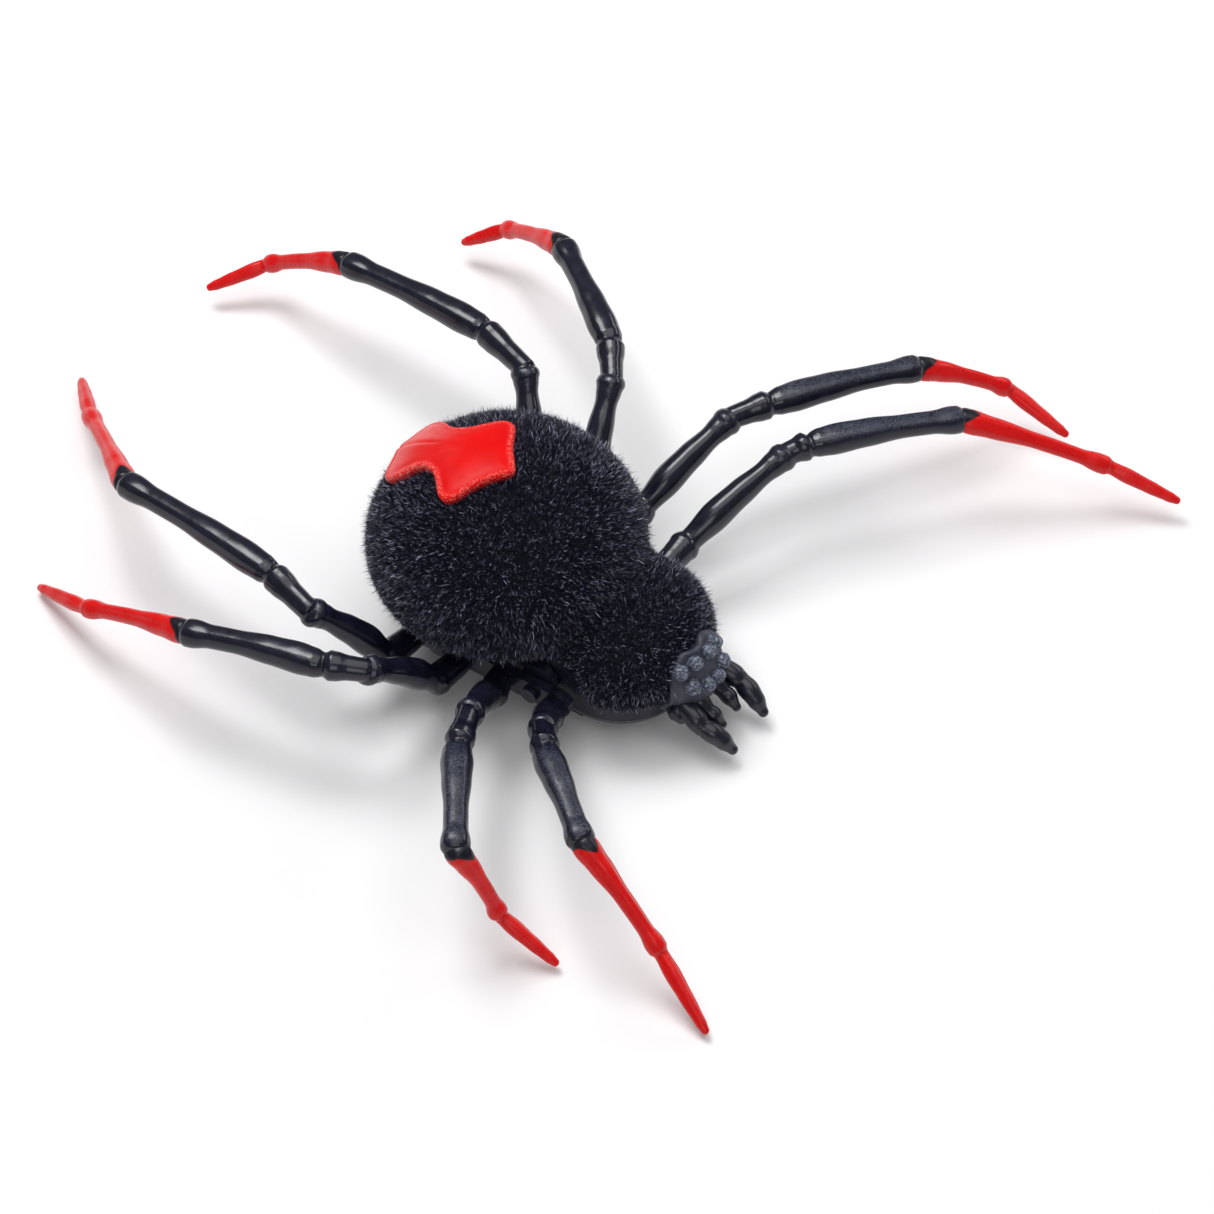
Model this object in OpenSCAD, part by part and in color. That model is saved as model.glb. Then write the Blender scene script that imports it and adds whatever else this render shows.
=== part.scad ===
// Crawling furry toy spider: eight soft legs on two crank-driven side rods.
// +X points to the head, +Y to the spider's left, +Z up; z = 0 is the surface it rests on.

/* [Body] */
// Radius of the round abdomen in plan, over the pile
abdomen_r = 27.4; // [26.5:0.1:28.5]
// Half height of the abdomen
abdomen_h = 21.7; // [21:0.1:23]
// Radius of the front body in plan, over the pile
thorax_r = 18.5; // [18:0.1:19.5]
// Half height of the front body
thorax_h = 12.5; // [12:0.1:14]
// Thickness of the pile and its backing
pile_t = 2.4; // [1.8:0.1:2.6]
// Wall thickness of the moulded shells
wall_t = 1.4; // [1.2:0.1:1.6]

/* [Walking gear] */
// Throw of the cranks, half of the step height
crank_r = 1.5; // [1:0.1:1.7]
// Height of both axles
axle_z = 11; // [10.8:0.1:11.4]
// Radius of the axles
axle_r = 1.2; // [1:0.1:1.4]
// Teeth on every large wheel
big_teeth = 24; // [24:1:24]
// Teeth on every small wheel
small_teeth = 8; // [8:1:8]
// Gear module
gear_m = 0.5; // [0.5:0.01:0.5]

/* [Legs] */
// Scale of the legs' thickness
leg_girth = 1; // [0.85:0.01:1.05]

/* [Hidden] */
$fn = 48;

// Colours
black = [0.05, 0.05, 0.07];
fur_black = [0.09, 0.1, 0.14];
head_black = [0.16, 0.17, 0.21];
red = [0.86, 0.07, 0.06];
steel = [0.72, 0.72, 0.74];
nylon = [0.88, 0.87, 0.82];
copper = [0.78, 0.48, 0.25];
board_green = [0.1, 0.35, 0.2];

// Body centres
abdomen_c = [-14, 0, 24];
thorax_c = [12, 0, 14.5];
dome_cut_z = 18.8;        // lower edge of the dome over the legs
dome_front_x = 13.5;      // the dome comes down to the pan ahead of this
fur_front_x = 15.2;       // the fur laps over the pan ahead of this
fur_front_z = 10.6;       // lower edge of the fur at the front
skirt_h = 9;              // height of the inner walls that close the dome down to the pan

// Belly pan
pan_z0 = 2.6;
pan_top = 13;
pan_w = 14.6;             // half width between the side rods
pan_front_r = pan_w;
pan_chamfer = [1.2, 2.2]; // width and height of the slope round the floor of the pan
pan_rear_r = 12.5;
pan_rear_x = -25;
plinth_x = [-19, 11];
plinth_w = 12;
cover_x = [-12.6, 5];
cover_w = 9.4;
cover_gap = 0.15;

// Walking gear
rear_x = -17;
front_x = 4;
bush_r = 1.9;
crank_y = [15, 16.6];
rod_y = [16.9, 18.9];
rod_x = [-25.6, 12.6];
rod_half_h = 2.5;
pin_r = 0.8;
cap_y = [19.1, 20];
cap_r = 1.7;
run_gap = 0.06;           // running clearance on a radius
open_gap = 0.4;           // clearance of the open pivot on the front pins

// Gear train, in the XZ plane, all shafts along Y
gear_dist = gear_m*(big_teeth + small_teeth)/2;
stage_angle = [105, 60, -10];
drive_c = [rear_x, axle_z];
gear2_c = drive_c + gear_dist*[cos(stage_angle[0]), sin(stage_angle[0])];
gear1_c = gear2_c + gear_dist*[cos(stage_angle[1]), sin(stage_angle[1])];
motor_c = gear1_c + gear_dist*[cos(stage_angle[2]), sin(stage_angle[2])];
layer_a = [9.2, 11.2];    // motor pinion and large wheel of gear 1
layer_b = [6.6, 8.6];     // small wheel of gear 1 and large wheel of gear 2
layer_c = [4, 6];         // small wheel of gear 2 and drive gear
gear_pin_r = 0.7;
outer_plate_y = [11.8, 13];
inner_plate_y = [2.2, 3.4];
motor_r = 5;
motor_y = [-8, 6];

// Where each leg leaves its side rod, front to rear
hip_x = [9.5, -3, -11.5, -22.3];
right_hip_z = axle_z - crank_r;
left_hip_z = axle_z + crank_r;
// Joints of each leg from the knob outwards: knob, knee, knee end, red joint, foot joint, foot end
left_joints = [
  [[10, 25, 13], [18, 49, 22], [21, 53, 23], [41, 76, 21], [67, 90, 10], [81, 94, 4.5]],
  [[-2, 28, 13], [4, 51, 22], [9, 58, 23], [27, 83, 21], [40, 97, 10], [54, 97, 4.5]],
  [[-13, 26, 13], [-19, 44, 26], [-24, 51, 27], [-47, 69, 25], [-67, 78, 11], [-76, 75, 4.5]],
  [[-24, 24, 13], [-34, 36, 27], [-47, 41, 26], [-82, 44, 22], [-103, 45, 9], [-112, 36, 4.5]]
];
right_joints = [
  [[10, -22, 9.5], [16, -33, 21], [20, -38, 23], [38, -53, 25], [57, -56, 9], [71, -62, 1.5]],
  [[-2, -23, 9.5], [3, -38, 22], [6, -46, 23], [20, -67, 25], [28, -65, 9], [40, -64, 1.5]],
  [[-13, -26, 9], [-18, -41, 24], [-25, -45, 25], [-53, -50, 21], [-79, -48, 9], [-94, -44, 1.5]],
  [[-24, -26, 9], [-35, -35, 24], [-46, -32, 25], [-84, -27, 22], [-109, -7, 8], [-120, 4, 1.5]]
];
// Stations along a leg's spans: [span, fraction of the span, radius]
black_profile = [
  [0, 0, 2.4], [0, 0.6, 3], [1, 0, 3.1], [1, 0.14, 2.4], [1, 0.34, 3], [1, 0.7, 2.3], [1, 0.92, 2.4],
  [2, 0, 2.9], [2, 0.5, 2.5], [3, 0, 2.8], [3, 0.12, 2.3], [3, 0.32, 3], [3, 0.72, 2.3], [3, 0.88, 2.6],
  [3, 1, 2.6]
];
red_profile = [
  [4, 0, 2.5], [4, 0.2, 2.1], [4, 0.55, 1.5], [4, 0.86, 1.5], [5, 0, 2], [5, 0.14, 1.4], [5, 0.4, 1.6],
  [5, 0.9, 1.1], [5, 1, 0.5]
];
leg_sides = 12;

// ---- Helpers ----

function unit(v) = v/norm(v);
function mix(a, b, t) = a + (b - a)*t;
function about(c, ends) = [c + ends[0], c + ends[1]];

// Path of one leg: hip on the rod, then the joints
function leg_path(joints, i, side) =
  concat([[hip_x[i], side*rod_y[1], side > 0 ? left_hip_z : right_hip_z]], joints[i]);

// Direction of the path at a station: along the span, or the mean of two spans at a joint
function span_dir(path, s) = unit(path[s + 1] - path[s]);
function station_dir(path, st, side) =
  st[0] == 0 && st[1] == 0 ? [0, side, 0] :
  st[1] == 0 ? unit(span_dir(path, st[0] - 1) + span_dir(path, st[0])) :
  st[1] == 1 && st[0] + 2 < len(path) ? unit(span_dir(path, st[0]) + span_dir(path, st[0] + 1)) :
  span_dir(path, st[0]);
function station_point(path, st) = mix(path[st[0]], path[st[0] + 1], st[1]);

// Sideways direction carried along the path without twist
function carried(u, d) = unit(u - (u*d)*d);
function frames(dirs, i = 0, u = [1, 0, 0]) =
  i == len(dirs) ? [] :
  let (v = carried(u, dirs[i])) concat([v], frames(dirs, i + 1, v));

function path_dirs(path) = [for (i = [0:len(path) - 1])
  unit(path[min(i + 1, len(path) - 1)] - path[max(i - 1, 0)])];

// Closed tube through rings of given centres, directions and radii
module tube(points, dirs, radii) {
  ups = frames(dirs);
  n = leg_sides;
  count = len(points);
  verts = [
    for (i = [0:count - 1]) for (k = [0:n - 1])
      points[i] + radii[i]*(cos(360*k/n)*ups[i] + sin(360*k/n)*cross(dirs[i], ups[i]))
  ];
  walls = [
    for (i = [0:count - 2]) for (k = [0:n - 1])
      let (a = i*n + k, b = i*n + (k + 1) % n)
      each [[a, a + n, b + n], [a, b + n, b]]
  ];
  start = [[for (k = [0:n - 1]) k]];
  end = [[for (k = [n - 1:-1:0]) (count - 1)*n + k]];
  polyhedron(verts, concat(walls, start, end), convexity = 6);
}

module leg_part(joints, i, side, profile) {
  path = leg_path(joints, i, side);
  tube(
    [for (st = profile) station_point(path, st)],
    [for (st = profile) station_dir(path, st, side)],
    [for (st = profile) leg_girth*st[2]]
  );
}

// Cylinder along Y between two y values
module y_cyl(x, z, y, r) {
  translate([x, min(y), z]) rotate([-90, 0, 0]) cylinder(h = max(y) - min(y), r = r);
}

module y_slab(y) {
  translate([0, max(y), 0]) rotate([90, 0, 0]) linear_extrude(max(y) - min(y)) children();
}

module z_box(x, y, z) {
  translate([min(x), min(y), min(z)])
    cube([max(x) - min(x), max(y) - min(y), max(z) - min(z)]);
}

// Round body with an elliptical section, turned about Z
module bun(c, r, h) {
  steps = 16;
  translate(c) rotate_extrude($fn = 64)
    polygon([for (k = [0:steps]) let (a = -90 + 180*k/steps)
      [k == 0 || k == steps ? 0 : r*cos(a), h*sin(a)]]);
}

module body_form(inset) {
  bun(abdomen_c, abdomen_r - inset, abdomen_h - inset);
  bun(thorax_c, thorax_r - inset, thorax_h - inset);
}

// Keeps what lies above an edge that is high over the legs and low at the front
module above_edge(front_x, front_z) {
  intersection() {
    children();
    union() {
      z_box([-60, 60], [-40, 40], [dome_cut_z, 60]);
      z_box([dome_front_x, 60], [-40, 40], [pan_top, 30]);
      z_box([front_x, 60], [-40, 40], [front_z, 30]);
    }
  }
}

// Plan outline of the pan, grown by g
module pan_plan(g) {
  translate([thorax_c[0], 0]) circle(r = pan_front_r + g);
  translate([pan_rear_x, -pan_rear_r - g])
    square([thorax_c[0] - pan_rear_x, 2*(pan_rear_r + g)]);
  translate([pan_rear_x + 1 - g, -pan_w - g])
    square([thorax_c[0] - pan_rear_x - 1 + g, 2*(pan_w + g)]);
  translate([pan_rear_x, 0]) circle(r = pan_rear_r + g);
}

// Slope cut off round the floor of the pan, along both sides and round the front
module pan_slope() {
  wedge = [[-pan_chamfer[0], pan_z0 - 1], [1, pan_z0 - 1], [1, pan_z0 + pan_chamfer[1]],
           [0, pan_z0 + pan_chamfer[1]], [-pan_chamfer[0], pan_z0]];
  translate([thorax_c[0], 0, 0]) rotate([0, 0, -90]) rotate_extrude(angle = 180, $fn = 64)
    translate([pan_front_r, 0]) polygon(wedge);
  for (s = [0, 1]) mirror([0, s, 0])
    translate([pan_rear_x - 20, 0, 0]) rotate([90, 0, 90])
      linear_extrude(thorax_c[0] - pan_rear_x + 20) translate([pan_w, 0]) polygon(wedge);
}

module gear_plan(teeth, phase) {
  pitch = gear_m*teeth/2;
  rotate(phase) {
    circle(r = pitch - 0.6);
    for (k = [0:teeth - 1]) rotate(360*k/teeth)
      polygon([[pitch - 0.8, -0.42], [pitch, -0.3], [pitch + 0.42, -0.14],
               [pitch + 0.42, 0.14], [pitch, 0.3], [pitch - 0.8, 0.42]]);
  }
}

// Phase that puts a follower's gap on the leader's tooth
function mesh_phase(dir, lead_phase, lead_teeth, teeth) =
  dir + 180 - 360/teeth*(0.5 - (dir - lead_phase)*lead_teeth/360);

module gear(c, y, teeth, phase) {
  translate([c[0], 0, c[1]]) y_slab(y) gear_plan(teeth, phase);
}

// ---- Body shells ----

module belly_pan() {
  color(black) difference() {
    union() {
      difference() {
        translate([0, 0, pan_z0]) linear_extrude(pan_top - pan_z0) pan_plan(0);
        pan_slope();
      }
      z_box(plinth_x, [-plinth_w, plinth_w], [0, pan_z0 + 0.5]);
    }
    difference() {
      translate([0, 0, pan_z0 + wall_t]) linear_extrude(pan_top) pan_plan(-wall_t);
      pan_posts();
    }
    z_box(cover_x, [-cover_w, cover_w], [-1, pan_z0 + wall_t + 1]);
    for (x = [rear_x, front_x]) for (s = [-1, 1])
      y_cyl(x, axle_z, s*[pan_w - wall_t - 2, pan_w + 2], bush_r);
    z_box([15, 19.4], [-1.3, 1.3], [0, 6]);
    for (p = shell_posts) translate([p[0], p[1], -1]) cylinder(h = 20, r = 0.85);
  }
}

shell_posts = [[20.5, 7.5], [20.5, -7.5], [-30, 5], [-30, -5]];

module pan_posts() {
  for (p = shell_posts) translate([p[0], p[1], 0]) cylinder(h = pan_top, r = 2.3);
}

module battery_cover() {
  color(black) difference() {
    z_box(cover_x + cover_gap*[1, -1], (cover_w - cover_gap)*[-1, 1], [0, pan_z0 + wall_t - 0.2]);
    translate([cover_x[1] - 3, 0, -1]) cylinder(h = 8, r = 0.9);
    translate([cover_x[1] - 3, 0, -1]) cylinder(h = 2, r = 1.9);
  }
}

module cover_screw() {
  color(steel) translate([cover_x[1] - 3, 0, 0]) {
    difference() {
      translate([0, 0, 0.2]) cylinder(h = 0.8, r = 1.6);
      z_box([-1.1, 1.1], [-0.2, 0.2], [-1, 0.6]);
      z_box([-0.2, 0.2], [-1.1, 1.1], [-1, 0.6]);
    }
    translate([0, 0, 1]) cylinder(h = 3, r = 0.8);
  }
}

module upper_shell() {
  color(black) {
    difference() {
      above_edge(dome_front_x, pan_top) body_form(pile_t);
      body_form(pile_t + wall_t);
    }
    intersection() {
      translate([0, 0, pan_top]) linear_extrude(skirt_h) difference() {
        pan_plan(0);
        pan_plan(-wall_t);
      }
      union() {
        bun(abdomen_c, abdomen_r - pile_t - 0.3, abdomen_h - pile_t - 0.3);
        bun(thorax_c, thorax_r - pile_t - 0.3, thorax_h - pile_t - 0.3);
        z_box([-45, dome_front_x], [-20, 20], [pan_top, dome_cut_z]);
      }
    }
  }
}

module fur_cover() {
  color(fur_black) difference() {
    above_edge(fur_front_x, fur_front_z) body_form(0);
    body_form(pile_t);
    badge_block(0.2);
    translate([face_x, 0, face_z]) sphere(r = face_r + 0.5);
  }
}

// Plan outline of the hourglass plate, pointed towards the head
module badge_plan(g) {
  offset(delta = g) polygon([
    [12, 0], [4.6, -10.4], [-2.4, -5], [-9, -8.6], [-14.5, -5.5],
    [-14.5, 5.5], [-9, 8.6], [-2.4, 5], [4.6, 10.4]
  ]);
}

badge_x = -24.5;

module badge_block(g) {
  translate([badge_x, 0, abdomen_c[2] + 4]) linear_extrude(40) badge_plan(g);
}

module hourglass_badge() {
  color(red) intersection() {
    badge_block(0);
    difference() {
      bun(abdomen_c, abdomen_r + 0.3, abdomen_h + 0.3);
      bun(abdomen_c, abdomen_r - pile_t, abdomen_h - pile_t);
    }
  }
}

face_x = 24.5;
face_z = 12.6;
face_r = 8.8;

module face_plate() {
  color(head_black) difference() {
    intersection() {
      translate([face_x, 0, face_z]) sphere(r = face_r);
      z_box([0, 60], [-20, 20], [6.4, 40]);
    }
    body_form(pile_t);
    translate([0, 0, -20]) linear_extrude(20 + pan_top + 0.1) pan_plan(0.1);
  }
}

// Eyes in two curved rows on the face
eye_angles = [[9, 17], [17.5, 48], [29, 21], [43, 40]];
eye_r = 1.35;

module eyes() {
  color(head_black) for (a = eye_angles) for (s = [-1, 1])
    translate([face_x, 0, face_z]) rotate([0, 90 - a[1], s*a[0]]) rotate_extrude()
      polygon([[0, face_r], [eye_r, face_r], [eye_r, face_r + 0.5], [0.86*eye_r, face_r + 1.1],
               [0.5*eye_r, face_r + 1.5], [0, face_r + 1.6]]);
}

outer_palp_points = [[29, 6, 10], [32, 7, 9], [35.5, 7.2, 7.6], [38, 6.8, 6.2], [41, 6, 4], [42.4, 5.6, 3]];
inner_palp_points = [[30, 2.4, 9.6], [33.4, 2.8, 8], [36.4, 2.7, 6], [37.6, 2.5, 5]];

module feeler(points, radii, side) {
  path = [for (p = points) [p[0], side*p[1], p[2]]];
  color(black) difference() {
    tube(path, path_dirs(path), radii);
    translate([face_x, 0, face_z]) sphere(r = face_r);
  }
}

module outer_palps() {
  for (s = [-1, 1]) feeler(outer_palp_points, [1.8, 2.1, 1.8, 2, 1.5, 0.8], s);
}

module inner_palps() {
  for (s = [-1, 1]) feeler(inner_palp_points, [1.6, 1.7, 1.4, 0.7], s);
}

module shell_screws() {
  color(steel) for (p = shell_posts) translate([p[0], p[1], 0]) {
    translate([0, 0, pan_z0 - 0.9]) cylinder(h = 0.9, r = 1.5);
    translate([0, 0, pan_z0]) cylinder(h = pan_top - pan_z0, r = 0.8);
  }
}

// ---- Power ----

cell_r = 5.8;
cell_h = 5.4;
cell_c = [-3.8, 0, 10.4];

module button_cells() {
  color(steel) for (k = [-1, 0, 1])
    y_cyl(cell_c[0], cell_c[2], about(k*cell_h, cell_h/2*[-0.98, 0.98]), cell_r);
}

module cell_contacts() {
  color(copper) for (s = [-1, 1])
    z_box(about(cell_c[0], [-3, 3]), s*[1.5*cell_h, 1.5*cell_h + 0.4], [pan_z0 + wall_t + 0.1, 15]);
}

module circuit_board() {
  color(board_green) z_box([10.5, 23], [-5, 5], [9, 10]);
}

module switch_body() {
  color(steel) difference() {
    z_box([13.4, 21], [-2.6, 2.6], [pan_z0 + wall_t + 0.4, 9]);
    z_box([14.8, 19.6], [-1.5, 1.5], [0, 7.6]);
  }
}

module switch_knob() {
  color(nylon) z_box([15.3, 17.1], [-1.1, 1.1], [1, 7.3]);
}

module wire(points) {
  tube(points, path_dirs(points), [for (p = points) 0.45]);
}

module wires() {
  color(red) wire([
    [12, 3, 10.1], [12, 3, 13], [9, 2.4, 17], [3, -2, 20], [-1, -9.2, 21], [-4, -9.2, 22.5]
  ]);
  color(black) wire([
    [12, -3, 10.1], [12, -3, 13], [9, -5, 16], [2, -9, 18], [-3, -10.6, 19], [-6, -10.6, 21]
  ]);
}

// ---- Motor and gears ----

module motor() {
  color(steel) {
    y_cyl(motor_c[0], motor_c[1], motor_y, motor_r);
    y_cyl(motor_c[0], motor_c[1], [motor_y[1], motor_y[1] + 0.7], 1.6);
  }
}

module motor_pinion() {
  color(nylon) difference() {
    gear(motor_c, layer_a, small_teeth,
         mesh_phase(stage_angle[2], 0, big_teeth, small_teeth));
    y_cyl(motor_c[0], motor_c[1], [0, 20], 0.5);
  }
  color(steel) y_cyl(motor_c[0], motor_c[1], [motor_y[1] + 0.9, layer_a[1]], 0.5);
}

module compound(c, big_y, small_y, small_phase) {
  color(nylon) difference() {
    union() {
      gear(c, big_y, big_teeth, 0);
      gear(c, [small_y[0], max(big_y[0], small_y[1]) + 0.1], small_teeth, small_phase);
    }
    y_cyl(c[0], c[1], [0, 20], gear_pin_r + run_gap);
  }
}

module compound_gear_1() {
  compound(gear1_c, layer_a, layer_b,
           mesh_phase(stage_angle[1], 0, big_teeth, small_teeth));
}

module compound_gear_2() {
  compound(gear2_c, layer_b, layer_c,
           mesh_phase(stage_angle[0], 0, big_teeth, small_teeth));
}

module drive_gear() {
  color(nylon) difference() {
    gear(drive_c, layer_c, big_teeth, 0);
    y_cyl(drive_c[0], drive_c[1], [0, 20], axle_r);
  }
}

// Gear plate in the XZ plane: a web over the shafts and a foot that stands on the floor of the pan
module plate_plan() {
  hull() {
    for (c = [gear1_c, gear2_c, motor_c]) translate(c) circle(r = 2.6, $fn = 32);
    for (c = post_xz) translate(c) circle(r = 1.8, $fn = 32);
  }
  translate([plate_foot_x[0], pan_z0 + wall_t])
    square([plate_foot_x[1] - plate_foot_x[0], gear2_c[1] - pan_z0 - wall_t]);
}

post_xz = [[-9.6, 15.6], [-9.2, 31.8], [-22, 31]];
post_r = 0.8;
plate_foot_x = [-15.4, -12.8];

module gear_plate(y) {
  difference() {
    y_slab(y) plate_plan();
    for (c = [gear1_c, gear2_c]) y_cyl(c[0], c[1], [0, 20], gear_pin_r);
    for (p = post_xz) y_cyl(p[0], p[1], [0, 20], post_r);
  }
}

module gear_plate_outer() {
  color(nylon) gear_plate(outer_plate_y);
}

module gear_plate_inner() {
  color(nylon) difference() {
    gear_plate(inner_plate_y);
    y_cyl(motor_c[0], motor_c[1], [0, 20], motor_r);
  }
}

module plate_posts() {
  color(steel) {
    for (c = [gear1_c, gear2_c])
      y_cyl(c[0], c[1], [inner_plate_y[0], outer_plate_y[1]], gear_pin_r);
    for (p = post_xz) {
      y_cyl(p[0], p[1], [inner_plate_y[0], outer_plate_y[1]], post_r);
      difference() {
        y_cyl(p[0], p[1], [inner_plate_y[1], outer_plate_y[0]], post_r + 0.6);
        y_cyl(p[0], p[1], [inner_plate_y[0], outer_plate_y[1]], post_r - 0.1);
      }
    }
  }
}

// ---- Axles, cranks and side rods ----

axle_end = crank_y[1] - 0.3;

module axle(x) {
  color(steel) y_cyl(x, axle_z, axle_end*[-1, 1], axle_r);
}

module drive_axle() {
  axle(rear_x);
}

module front_axle() {
  axle(front_x);
}

module axle_bushes() {
  color(copper) for (x = [rear_x, front_x]) for (s = [-1, 1]) difference() {
    y_cyl(x, axle_z, s*[pan_w - wall_t, pan_w + 0.2], bush_r);
    y_cyl(x, axle_z, s*[0, 40], axle_r + run_gap);
  }
}

// Crank disc with its pin; the left pins stand up and the right pins hang down
module crank(x, side) {
  color(black) {
    difference() {
      y_cyl(x, axle_z, side*crank_y, 3.6);
      y_cyl(x, axle_z, side*[0, axle_end], axle_r);
    }
    y_cyl(x, axle_z + side*crank_r, side*[crank_y[1] - 0.2, cap_y[1]], pin_r);
  }
}

module pin_caps(x) {
  color(black) for (s = [-1, 1]) difference() {
    y_cyl(x, axle_z + s*crank_r, s*cap_y, cap_r);
    y_cyl(x, axle_z + s*crank_r, s*[0, 40], pin_r);
  }
}

module side_rod(side) {
  z = axle_z + side*crank_r;
  color(black) difference() {
    union() {
      z_box(rod_x + rod_half_h*[1, -1], side*rod_y, about(z, rod_half_h*[-1, 1]));
      for (x = rod_x + rod_half_h*[1, -1]) y_cyl(x, z, side*rod_y, rod_half_h);
      for (x = hip_x) y_cyl(x, z, side*rod_y, 3);
    }
    y_cyl(rear_x, z, side*[0, 40], pin_r + run_gap);
    y_cyl(front_x, z, side*[0, 40], pin_r + open_gap);
  }
}

// ---- What is drawn ----

belly_pan();
battery_cover();
cover_screw();
upper_shell();
fur_cover();
hourglass_badge();
face_plate();
eyes();
outer_palps();
inner_palps();
shell_screws();
button_cells();
cell_contacts();
circuit_board();
switch_body();
switch_knob();
wires();
motor();
motor_pinion();
gear_plate_outer();
gear_plate_inner();
plate_posts();
compound_gear_1();
compound_gear_2();
drive_gear();
drive_axle();
front_axle();
crank(rear_x, 1);  // rear_crank_left
crank(rear_x, -1);  // rear_crank_right
crank(front_x, 1);  // front_crank_left
crank(front_x, -1);  // front_crank_right
pin_caps(rear_x);  // rear_pin_caps
pin_caps(front_x);  // front_pin_caps
axle_bushes();
side_rod(1);  // side_rod_left
side_rod(-1);  // side_rod_right
for (i = [0:3]) {
  color(black) leg_part(left_joints, i, 1, black_profile);
  color(black) leg_part(right_joints, i, -1, black_profile);
  color(red) leg_part(left_joints, i, 1, red_profile);
  color(red) leg_part(right_joints, i, -1, red_profile);
}
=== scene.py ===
"""Looks of the crawling furry toy spider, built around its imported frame.

Shapes are worked out in millimetres, in the frame's own axes, and brought to metres when a piece is made:
+X points to the head, +Y to the spider's left, +Z up.
"""
import math

import bpy
import numpy as np
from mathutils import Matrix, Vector, noise


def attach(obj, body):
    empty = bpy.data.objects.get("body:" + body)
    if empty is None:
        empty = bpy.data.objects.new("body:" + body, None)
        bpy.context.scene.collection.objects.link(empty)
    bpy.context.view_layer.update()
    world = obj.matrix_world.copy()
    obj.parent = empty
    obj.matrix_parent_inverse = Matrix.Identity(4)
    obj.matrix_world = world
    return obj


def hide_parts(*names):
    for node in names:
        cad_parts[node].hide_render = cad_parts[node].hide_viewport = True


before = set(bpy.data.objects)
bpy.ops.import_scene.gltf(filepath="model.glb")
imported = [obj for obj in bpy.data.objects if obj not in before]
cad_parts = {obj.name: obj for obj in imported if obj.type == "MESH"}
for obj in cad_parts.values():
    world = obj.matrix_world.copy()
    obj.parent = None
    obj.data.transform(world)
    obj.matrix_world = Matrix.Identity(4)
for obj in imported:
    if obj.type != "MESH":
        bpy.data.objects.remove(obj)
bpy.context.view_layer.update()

MM = 0.001
rng = np.random.default_rng(8)

# ---- Body form, shared by the fur, the hourglass plate and the face ----

ABDOMEN = (np.array([-14.0, 0, 24.0]), np.array([27.4, 27.4, 21.7]))
THORAX = (np.array([12.0, 0, 14.5]), np.array([18.5, 18.5, 12.5]))
BODY_MID = np.array([2.0, 0, 17.0])     # a point from which the whole skin can be seen
BLEND = 3.5                             # how softly the two buns run into each other
SKIN_INSET = 1.7                        # skin below the outer line of the pile
FACE = np.array([24.5, 0, 12.6])        # centre of the face
FACE_R = 8.8


def unit(v):
    return v / np.linalg.norm(v, axis=-1, keepdims=True)


def smooth(x, low, high):
    t = np.clip((x - low) / (high - low), 0, 1)
    return t * t * (3 - 2 * t)


def bun_distance(p, bun, inset):
    """Near-distance from points to the surface of one elliptical bun."""
    centre, radii = bun
    radii = radii - inset
    q = (p - centre) / radii
    k = np.linalg.norm(q, axis=-1)
    g = np.linalg.norm(q / radii, axis=-1)
    return k * (k - 1) / np.maximum(g, 1e-9)


def body_distance(p, inset=SKIN_INSET):
    a = bun_distance(p, ABDOMEN, inset)
    b = bun_distance(p, THORAX, inset)
    h = np.clip(0.5 + 0.5 * (b - a) / BLEND, 0, 1)
    return b * (1 - h) + a * h - BLEND * h * (1 - h)


def body_normal(p, inset=SKIN_INSET):
    step = 0.05
    g = [body_distance(p + step * e, inset) - body_distance(p - step * e, inset) for e in np.eye(3)]
    return unit(np.stack(g, axis=-1))


def body_reach(origin, dirs, inset=SKIN_INSET, far=60.0):
    """Distance from an inside point to the skin along each direction."""
    low = np.zeros(len(dirs))
    high = np.full(len(dirs), far)
    for _ in range(40):
        mid = (low + high) / 2
        inside = body_distance(origin + dirs * mid[:, None], inset) < 0
        low = np.where(inside, mid, low)
        high = np.where(inside, high, mid)
    return (low + high) / 2


def fur_edge(x):
    """Height of the lower edge of the fur: high over the legs, low round the front."""
    return 18.4 - 8.6 * smooth(x, 12.0, 17.5)


# ---- Mesh helpers ----

def make_piece(name, verts, faces, material, smooth_shade=True):
    """A mesh object from millimetre points."""
    mesh = bpy.data.meshes.new(name)
    mesh.from_pydata((np.asarray(verts, float) * MM).tolist(), [], faces)
    mesh.validate()
    mesh.polygons.foreach_set("use_smooth", [smooth_shade] * len(mesh.polygons))
    mesh.materials.append(material)
    piece = bpy.data.objects.new(name, mesh)
    bpy.context.scene.collection.objects.link(piece)
    return piece


def place(piece, body, slot, *nodes):
    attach(piece, body)
    if nodes:
        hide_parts(*nodes)
    return piece


def grid_faces(rows, cols, closed=True, flip=False):
    faces = []
    last = cols if closed else cols - 1
    for i in range(rows - 1):
        for k in range(last):
            a = i * cols + k
            b = i * cols + (k + 1) % cols
            quad = (a, b, b + cols, a + cols)
            faces.append(quad[::-1] if flip else quad)
    return faces


def apply_modifiers(piece):
    bpy.context.view_layer.update()
    graph = bpy.context.evaluated_depsgraph_get()
    mesh = bpy.data.meshes.new_from_object(piece.evaluated_get(graph))
    old = piece.data
    piece.modifiers.clear()
    piece.data = mesh
    bpy.data.meshes.remove(old)
    mesh.polygons.foreach_set("use_smooth", [True] * len(mesh.polygons))


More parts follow.
